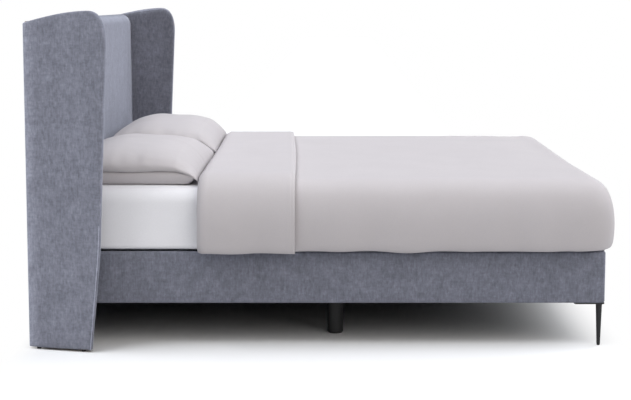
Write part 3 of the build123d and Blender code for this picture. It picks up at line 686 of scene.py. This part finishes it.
# The mattress: a block of springs and foam in a white fitted sheet. The sheet is pulled over its round
# edges and drawn in underneath, so it lies smooth on top and drags a little upright at the sides.
sheet_low, sheet_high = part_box("fitted_sheet")
mattress_low, mattress_top = sheet_low.z, sheet_high.z
mattress_half = sheet_high.y
mattress_corner = 0.085
mattress_top_roll = 0.060
mattress_low_roll = 0.010
mattress_rim_lift = 0.013
mattress_rim_reach = 0.055
drag_stretch = Vector((10, 10, 1.4))
drag_depth, drag_share = 0.0022, 0.6
undragged = 0.0018
thread_layers = (
    ((1, 0.25, 1), 1500, 1, 0.5, 0.97, 1.03),
    ((0.25, 1, 0.6), 1500, 1, 0.5, 0.97, 1.03),
    ((1, 1, 1), 7, 3, 0.6, 0.97, 1.0),
)
cotton, cotton_colour, cotton_out = surface_group("cotton weave")
thread_shades = layered(cotton, thread_layers)[1]
shaded(cotton, cotton_colour, cotton_out, thread_shades, product(cotton, thread_shades[0], thread_shades[1]))
white = (0.93, 0.925, 0.955)
white_cotton = surfaced(
    "white cotton", cotton, white, bump_distance=0.0006, bump_strength=0.35, Roughness=0.92,
    Specular_IOR_Level=0.2, Sheen_Weight=0.05,
)

bm = box_bmesh(sheet_low, sheet_high)
uprights = [e for e in bm.edges if abs(e.verts[0].co.z - e.verts[1].co.z) > mattress_top_roll]
rounded(bm, uprights, mattress_corner, segments=10)
rounded(bm, edges_at(bm, z=mattress_top), mattress_top_roll, segments=10)
rounded(bm, edges_at(bm, z=mattress_low), mattress_low_roll, segments=6)
cut_into_strips(bm, 0, sheet_low.x, sheet_high.x, count=70)
cut_into_strips(bm, 1, -mattress_half, mattress_half, count=50)
cut_into_strips(bm, 2, mattress_low + mattress_low_roll, mattress_top - mattress_top_roll, count=8)
bm.normal_update()
moves = []
for vert in bm.verts:
    place = Vector([vert.co[i] * drag_stretch[i] for i in range(3)])
    level = 1 if vert.co.z > mattress_low + undragged else 0
    moves.append(vert.normal * (drag_depth * level * (noise.noise(place) - drag_share)))
for vert, move in zip(bm.verts, moves):
    vert.co += move
    inward = min(vert.co.x - sheet_low.x, sheet_high.x - vert.co.x, mattress_half - abs(vert.co.y))
    over = vert.co.z - mattress_low
    if over < mattress_rim_reach:
        near_rim = 1 - min(max(inward, 0), mattress_rim_reach) / mattress_rim_reach
        vert.co.z += mattress_rim_lift * near_rim ** 2 * (1 - over / mattress_rim_reach)
sheet = add_piece("mattress_in_sheet", bm, white_cotton, "mattress")
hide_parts("fitted_sheet", "mattress_top_foam", "mattress_border", "mattress_bottom_foam")

# The duvet: a wide quilt in light grey cotton laid over the mattress, with its head end turned back over
# itself. It was laid a little askew. It falls over the sides and the foot, stands off in soft folds, and
# is closed by a flat sewn hem.
light_grey = (0.562, 0.530, 0.540)
pale_sheen = (0.86, 0.9, 1, 1)
grey_cotton = surfaced(
    "grey cotton", cotton, light_grey, bump_distance=0.0006, bump_strength=0.35, Roughness=0.92,
    Specular_IOR_Level=0.2, Sheen_Weight=0.12, Sheen_Roughness=0.5, Sheen_Tint=pale_sheen,
)
duvet_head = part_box("duvet")[0].x
turned_back = 0.347
quilt_thickness = 0.021
hem_thickness = 0.006
hem_width = 0.030
stitch_from_edge = 0.012
stitch_depth = 0.0012
stitch_width = 0.0022
hem_places = (0, 0.003, 0.007, 0.010, 0.012, 0.014, 0.018, 0.023, hem_width)
quilt_strips = 150
layer_gap = 0.0012
quilt_over_sheet = 0.0012
brim = 0.150
core_half = 0.650
brim_from_foot = 0.093
core_length = foot_x - brim_from_foot - brim - duvet_head
duvet_crown = 0.004
crown_end, crown_fade = 0.04, 0.36
puffs = ((0.0035, 3.1), (0.0016, 9))
skew_head = 0.046
skew_growth = 2.2
skew_fade = 1.6
skew_fold = 0.042
skew_foot = 0.042
fold_wave, fold_rate = 0.0040, 16
fold_wander, fold_wander_rate = 6, 2.5
corner_fold = 0.3
hem_wave, hem_rate = 0.0075, 6
edge_lift = 0.0025
edge_reach = 0.035
foot_stretch = 1.03
corner_square, corner_sharper, corner_reach = 2.2, 2.3, 0.10
crest_at, crest_width = 0.19, 0.07
crest_press = 0.6
press_softness = 0.003

# How the quilt's underside falls over an edge: distance out from the flat top, and height under it.
bend_steps = 24
fall_bends = (
    ((0, 0), (0.100, 0), (0.150, 0), (0.180, -0.0015)),
    ((0.180, -0.0015), (0.215, -0.003), (0.240, -0.015), (0.252, -0.038)),
    ((0.252, -0.038), (0.264, -0.061), (0.271, -0.090), (0.2725, -0.125)),
    ((0.2725, -0.125), (0.274, -0.165), (0.270, -0.205), (0.265, -0.231)),
)
fall_line = []
for bend_points in fall_bends:
    fall_line += bend(*bend_points, bend_steps)
fall_line.append(Vector((fall_bends[-1][-1][0], 0, fall_bends[-1][-1][1])))
fall_lengths = [0]
for here, there in zip(fall_line, fall_line[1:]):
    fall_lengths.append(fall_lengths[-1] + (there - here).length)
fall_length = fall_lengths[-1]
quilt_half = core_half + fall_length
turn_radius = (quilt_thickness + layer_gap) / 2
turn_length = pi * turn_radius
flap_length = turned_back - turn_radius
quilt_length = flap_length + turn_length + core_length - turn_radius + fall_length


def fall_at(distance):
    """How far out and down the cloth is, at a distance along its fall."""
    distance = min(max(distance, 0), fall_length * (1 - 1e-6))
    step = next(i for i, length in enumerate(fall_lengths) if length > distance) - 1
    share = (distance - fall_lengths[step]) / (fall_lengths[step + 1] - fall_lengths[step])
    place = fall_line[step].lerp(fall_line[step + 1], share)
    return place.x, place.z


def smooth_step(share):
    """Rises from 0 to 1 with level ends."""
    share = min(max(share, 0), 1)
    return share * share * (3 - 2 * share)


def off_mattress(point):
    """Pushes a point of the quilt's underside clear of the mattress, which has rounded corners and edges."""
    middle = (sheet_low.x + sheet_high.x) / 2
    half_length = (sheet_high.x - sheet_low.x) / 2
    off_x = abs(point.x - middle) - half_length + mattress_corner
    off_y = abs(point.y) - mattress_half + mattress_corner
    signs = (1 if point.x > middle else -1, 1 if point.y > 0 else -1)
    outward = Vector((max(off_x, 0) * signs[0], max(off_y, 0) * signs[1], 0))
    plan = outward.length + min(max(off_x, off_y), 0) - mattress_corner + mattress_top_roll
    over = point.z - mattress_top + mattress_top_roll
    short = quilt_over_sheet - sqrt(max(plan, 0) ** 2 + max(over, 0) ** 2) + mattress_top_roll
    push = (short + sqrt(short ** 2 + press_softness ** 2)) / 2
    if outward.length > 0:
        outward.normalize()
    direction = outward * max(plan, 0) + Vector((0, 0, max(over, 0)))
    return point + direction.normalized() * push if direction.length > 0 else point


def underside(along, across):
    """Where the quilt's underside lies at a distance past the head fold, and across the bed."""
    over_x = max(along - core_length, 0)
    over_y = max(abs(across) - core_half, 0)
    side = 1 if across > 0 else -1
    reach = max(over_x, over_y)
    out, down = fall_at(reach)
    turn = 0 if reach == 0 else pi / 4 * (over_y / reach if over_x > over_y else 2 - over_x / reach)
    square = corner_square + corner_sharper * smooth_step((reach - brim) / corner_reach)
    out_corner = out / (cos(turn) ** square + sin(turn) ** square) ** (1 / square)
    x = duvet_head + min(along, core_length) + foot_stretch * out_corner * cos(turn)
    y = side * (min(abs(across), core_half) + out_corner * sin(turn))
    hang = smooth_step((reach - brim) / (fall_length - brim))
    corner = 1 - sin(2 * turn) ** 2
    run = across if over_x > over_y else along
    wander = fold_wander * noise.noise(Vector((run * fold_wander_rate, side * 3, over_x > over_y)))
    ripple = sin(run * fold_rate + wander) * hang * (corner_fold + (1 - corner_fold) * corner)
    x += fold_wave * ripple * cos(turn)
    y += side * fold_wave * ripple * sin(turn)
    down += hem_wave * hang * noise.noise(Vector((run * hem_rate, side * 5, 2 + (over_x > over_y))))
    far_share = (y / quilt_half + 1) / 2
    near_head = 1 - smooth_step((along - turned_back) / core_length * skew_fade)
    skew = skew_head * far_share ** skew_growth + skew_fold * far_share * min(along / turned_back, 1)
    x -= near_head * skew
    x -= smooth_step(along / core_length * 2 - 1) * smooth_step(2 * far_share) * skew_foot
    return off_mattress(Vector((x, y, mattress_top + quilt_over_sheet + down)))


def pressed(along, across):
    """The share of its thickness that the quilt keeps, which is less on its far and foot crests."""
    over_x, over_y = along - core_length, abs(across) - core_half
    crest = exp(-((max(over_x, over_y) - crest_at) / crest_width) ** 2)
    return 1 - crest_press * crest * smooth_step(1 + across / core_half)


def head_edge(y):
    """Where the outer side of the duvet's folded head end lies at a place across the bed."""
    skew = skew_head * ((y / quilt_half + 1) / 2) ** skew_growth
    return duvet_head - quilt_thickness / 2 - skew


def thickness_at(along, across):
    """How thick the quilt is: thin at its hem, where it is stitched, and on its pressed crests."""
    from_hem = min(along, quilt_length - along, quilt_half - abs(across))
    filling = min(max(from_hem / hem_width, 0), 1)
    thick = hem_thickness + (quilt_thickness - hem_thickness) * sqrt(1 - (1 - filling) ** 2)
    thick -= 2 * stitch_depth * exp(-((along - stitch_from_edge) / stitch_width) ** 2)
    return thick * pressed(along - flap_length - turn_length + turn_radius, across)


def turned(along, middle):
    """A place's distance past the head fold, its height over the lower layer, and its turn in the fold."""
    if along < flap_length:
        place, rise, angle = flap_length - along + turn_radius, 2 * turn_radius - middle, 0
    elif along < flap_length + turn_length:
        place, angle = turn_radius, (along - flap_length) / turn_radius
        rise = turn_radius + (turn_radius - middle) * cos(angle)
    else:
        place, rise, angle = along - flap_length - turn_length + turn_radius, middle, 0
    if along < edge_reach:
        rise += edge_lift * (1 - along / edge_reach)
    return place, rise, angle


def crown_at(point):
    """How much the filling raises the quilt, which is most in the middle of the bed."""
    from_middle = min(abs(point.y) / (core_half + brim + quilt_thickness), 1)
    from_foot = smooth_step((foot_x - crown_end - point.x) / crown_fade)
    puff = sum(height * noise.noise(point * rate) for height, rate in puffs)
    return (duvet_crown + puff) * (1 - from_middle ** 2) * from_foot


def drape(along, across, through):
    """Lays a point of the flat quilt on the bed: along from the turned-back edge, through from 0 to 1."""
    middle = (through - 0.5) * thickness_at(along, across)
    place, rise, angle = turned(along, middle)
    step = 0.004
    here = underside(place, across)
    ahead = underside(place + step, across) - underside(place - step, across)
    beside = underside(place, across + step) - underside(place, across - step)
    half_thick = quilt_thickness / 2 * pressed(place, across)
    point = here + ahead.cross(beside).normalized() * (half_thick + rise)
    if angle > 0:
        point -= ahead.normalized() * ((turn_radius - middle) * sin(angle))
    lift = crown_at(point)
    if along >= flap_length + turn_length and place > turned_back:
        lift *= smooth_step(through)
    point.z += lift
    return point


def stations(length):
    """Places along one side of the flat quilt, close together at its two hems."""
    inner = [hem_width + (length - 2 * hem_width) * i / quilt_strips for i in range(1, quilt_strips)]
    return [*hem_places, *inner, *(length - place for place in reversed(hem_places))]


rows = stations(quilt_length)
columns = [place - quilt_half for place in stations(2 * quilt_half)]
bm = bmesh.new()
bmesh.ops.create_grid(bm, x_segments=len(rows) - 1, y_segments=len(columns) - 1, size=0.5)
for vert in bm.verts:
    row = round((vert.co.x + 0.5) * (len(rows) - 1))
    column = round((vert.co.y + 0.5) * (len(columns) - 1))
    vert.co = (rows[row], columns[column], 0)
thicken(bm, bm.faces[:], (0, 0, 1))
for vert in bm.verts:
    vert.co = drape(*vert.co)
duvet = add_piece("duvet_quilt", bm, grey_cotton, "duvet")
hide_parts("duvet")

# The pillows: two soft ones side by side on two others. Each is a cotton case with a thin seam round its
# rim, blown out by its filling. The lower ones lie flat, pressed by the upper ones, which are domed and
# hang over them at the foot end, where their corners droop to the mattress.
pillow_over_sheet = 0.0006
pillow_ground = mattress_top + pillow_over_sheet
seam_thickness = 0.004
pillow_gap, ground_gap = 0.004, 0.0015
under_round = 0.06
pillow_cells = (64, 96)
lower_side_end = 0.995
pillow_shapes = {
    "lower": {"dome": 0.044, "seam": 0.028, "peak": 1.0, "head": 5.0, "foot": 9.0, "sides": 6.0},
    "upper": {"dome": 0.067, "seam": 0.058, "peak": 0.716, "head": 1.5, "foot": 2.0, "sides": 2.8},
}
from_duvet = {"lower": 0.017, "upper": 0.003}
crease_depth = {"lower": 0.0015, "upper": 0.005}
crease_seed = {"right": 20, "left": 17}
from_head = {"right": 0.018, "left": 0.028}
height_share = {"right": 1.0, "left": 1.06}
swell = {"lower": 0.004, "upper": 0.006}
seam_low = 0.006
droop_start, droop_curve = 0.68, 0.6
seam_ripple, seam_ripples = 0.04, 5
side_pull = 0.010
end_pull = 0.004
side_fold, side_folds, side_fold_reach = 1.6, 11, 0.12
end_folds, end_fold_reach = 12, 0.16
soft_fold = 0.3
swell_pressure, swell_frames = 3.0, 20


def dome(along, across, shape):
    """The share of a pillow's full height, from 1 in its middle to 0 at its seam."""
    end = 2 * min(max(along, 0), 1) ** shape["peak"] - 1
    ends = max(0, 1 - abs(end) ** shape["foot" if end > 0 else "head"])
    return sqrt(ends * max(0, 1 - abs(across) ** shape["sides"]))


def creases(along, across, seed):
    """Small folds that start at the seam and die out towards the middle."""
    from_side, from_end = 1 - abs(across), 1 - abs(2 * along - 1)
    at_side = noise.noise(Vector((along * side_folds, seed, 0))) * exp(-from_side / side_fold_reach)
    at_end = noise.noise(Vector((across * end_folds, seed + 4, 0))) * exp(-from_end / end_fold_reach)
    soft = noise.noise(Vector((along * 4, across * 5, seed)))
    return side_fold * at_side + at_end + soft_fold * soft


def seam_height(along, level):
    """How high a pillow's seam lies, which droops to the sheet at the foot end of an upper pillow."""
    seam = pillow_shapes[level]["seam"]
    if level == "lower":
        return seam
    foot = min(max((2 * along - 1 - droop_start) / (1 - droop_start), 0), 1)
    ripple = 1 - seam_ripple * sin(pi * along * seam_ripples)
    return seam_low + (seam - seam_low) * (1 - foot) ** droop_curve * ripple


def over_lower(along, across):
    """How low an upper pillow may hang: onto the lower pillow, or past it to just over the sheet."""
    if along >= 1 or abs(across) >= lower_side_end:
        return ground_gap
    lower = pillow_shapes["lower"]
    return lower["seam"] + lower["dome"] * dome(along, across, lower) + pillow_gap


def case_bmesh():
    """A slab of cloth from 0 to 1 along and from -1 to 1 across, cut more finely near its seam."""
    bm = bmesh.new()
    bmesh.ops.create_grid(bm, x_segments=pillow_cells[0], y_segments=pillow_cells[1], size=0.5)
    for vert in bm.verts:
        vert.co.x = 0.5 - 0.5 * cos(pi * (vert.co.x + 0.5))
        vert.co.y = sin(pi * vert.co.y)
    thicken(bm, bm.faces[:], (0, 0, 1))
    return bm


def pillow_bmesh(level, side):
    """A pillow case, raised into one of the pillows."""
    shape = pillow_shapes[level]
    low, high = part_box(f"pillow_{level}_{side}")
    half, middle_y = (high.y - low.y) / 2, (high.y + low.y) / 2
    head = low.x + from_head[side]
    bm = case_bmesh()
    for vert in bm.verts:
        along, across, top = vert.co
        y = middle_y + across * (half - side_pull * (1 - (2 * along - 1) ** 2))
        foot_end = head_edge(y) - from_duvet[level]
        lower_end = head_edge(y) - from_duvet["lower"]
        pull = end_pull * (1 - across ** 2)
        x = head + pull + along * (foot_end - head - 2 * pull)
        under = over_lower((x - head) / (lower_end - head), across) if level == "upper" else 0
        rise = dome(along, across, shape)
        seam = seam_height(along, level)
        creased = crease_depth[level] * creases(along, across, crease_seed[side])
        bulk = seam + shape["dome"] * rise + creased
        bottom = max(under, seam - under_round * rise)
        z = bulk + seam_thickness if top > 0.5 else min(bottom, bulk)
        vert.co = (x, y, pillow_ground + max(z, 0) * height_share[side])
    return bm


def blown_out(piece, cap):
    """Lets cloth simulation swell a case against its filling, by a capped distance."""
    start = [v.co.copy() for v in piece.data.vertices]
    cloth = piece.modifiers.new("filling", "CLOTH")
    cloth.settings.quality = 5
    cloth.settings.use_pressure = True
    cloth.settings.uniform_pressure_force = swell_pressure
    cloth.settings.effector_weights.gravity = 0
    cloth.settings.tension_stiffness = 15
    cloth.settings.bending_stiffness = 0.5
    cloth.point_cache.frame_end = swell_frames
    for step in range(1, swell_frames + 1):
        scene.frame_set(step)
    swollen = piece.evaluated_get(bpy.context.evaluated_depsgraph_get()).to_mesh()
    ends = [v.co.copy() for v in swollen.vertices]
    piece.modifiers.remove(cloth)
    scene.frame_set(1)
    for vert, before, after in zip(piece.data.vertices, start, ends):
        move = after - before
        if move.length > cap:
            move *= cap / move.length
        if move.z < 0:
            move.z = 0
        vert.co = before + move


for level in ("lower", "upper"):
    for side in ("right", "left"):
        pillow = add_piece(
            f"pillow_{level}_{side}_case", pillow_bmesh(level, side), grey_cotton, f"pillow_{level}_{side}"
        )
        blown_out(pillow, swell[level])
        smooth = pillow.modifiers.new("smooth case", "SUBSURF")
        smooth.levels = smooth.render_levels = 1
        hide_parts(f"pillow_{level}_{side}")

# Legs, glides and fasteners. The slim foot legs are steel with a black powder coat, the round support
# legs and the glides are black plastic, the felts are glued under the support legs, and the screws, studs
# and bolts are zinc plated.
speck_layers = (((1, 1, 1), 1800, 2, 0.5, 0.8, 1.2),)
speckled = layered_group("fine speckle", speck_layers)
coat_black, plastic_black, felt_grey = (0.006, 0.006, 0.007), (0.003, 0.003, 0.0035), (0.05, 0.05, 0.05)
powder_coat = surfaced(
    "black powder coat", speckled, coat_black, bump_distance=0.0002, bump_strength=0.4, Roughness=0.42
)
black_plastic = surfaced(
    "black plastic", speckled, plastic_black, bump_distance=0.0001, bump_strength=0.3, Roughness=0.55
)
grey_felt = surfaced("grey felt", felted, felt_grey, bump_distance=0.0006, bump_strength=0.6, Roughness=0.95)


def dress(material, *names):
    """Gives CAD nodes their material."""
    for name in names:
        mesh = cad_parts[name].data
        mesh.materials.clear()
        mesh.materials.append(material)


dress(powder_coat, "foot_leg_right", "foot_leg_left")
dress(
    black_plastic, "support_leg_head_right", "support_leg_head_left", "support_leg_middle_right",
    "support_leg_middle_left", "support_legs_centre", "floor_glides", "foot_leg_glides",
)
dress(grey_felt, "support_leg_felts")
dress(bright_steel, "headboard_bolts", "wing_bolts", "leg_plate_screws", "support_leg_studs")

# Inside the upholstery: pine frames, plywood panels in the wings and behind the headboard's foam, and
# strips of pocket springs sewn in white fleece.
grain_layers = (
    ((0.12, 1, 1), 160, 4, 0.6, 0.82, 1.12),
    ((0.10, 1, 1), 22, 3, 0.6, 0.85, 1.12),
)
grained = layered_group("wood grain", grain_layers)
pine_yellow, birch, fleece_white = (0.58, 0.41, 0.23), (0.50, 0.36, 0.22), (0.78, 0.78, 0.76)
pine = surfaced("planed pine", grained, pine_yellow, bump_distance=0.0005, bump_strength=0.3, Roughness=0.6)
plywood = surfaced("birch plywood", grained, birch, bump_distance=0.0003, bump_strength=0.2, Roughness=0.65)
fleece = surfaced(
    "white fleece", felted, fleece_white, bump_distance=0.0006, bump_strength=0.5, Roughness=0.95
)
dress(
    pine, "headboard_stile_right", "headboard_stile_left", "headboard_top_rail", "headboard_middle_rail",
    "headboard_bottom_rail", "headboard_centre_stiles", "base_side_rail_right", "base_side_rail_left",
    "base_head_rail", "base_foot_rail", "base_cross_beam", "base_centre_beams", "base_corner_blocks",
    "base_ledgers", "base_slats",
)
dress(plywood, "headboard_board", "wing_core_right", "wing_core_left")
dress(fleece, "base_spring_strips", "mattress_spring_core")
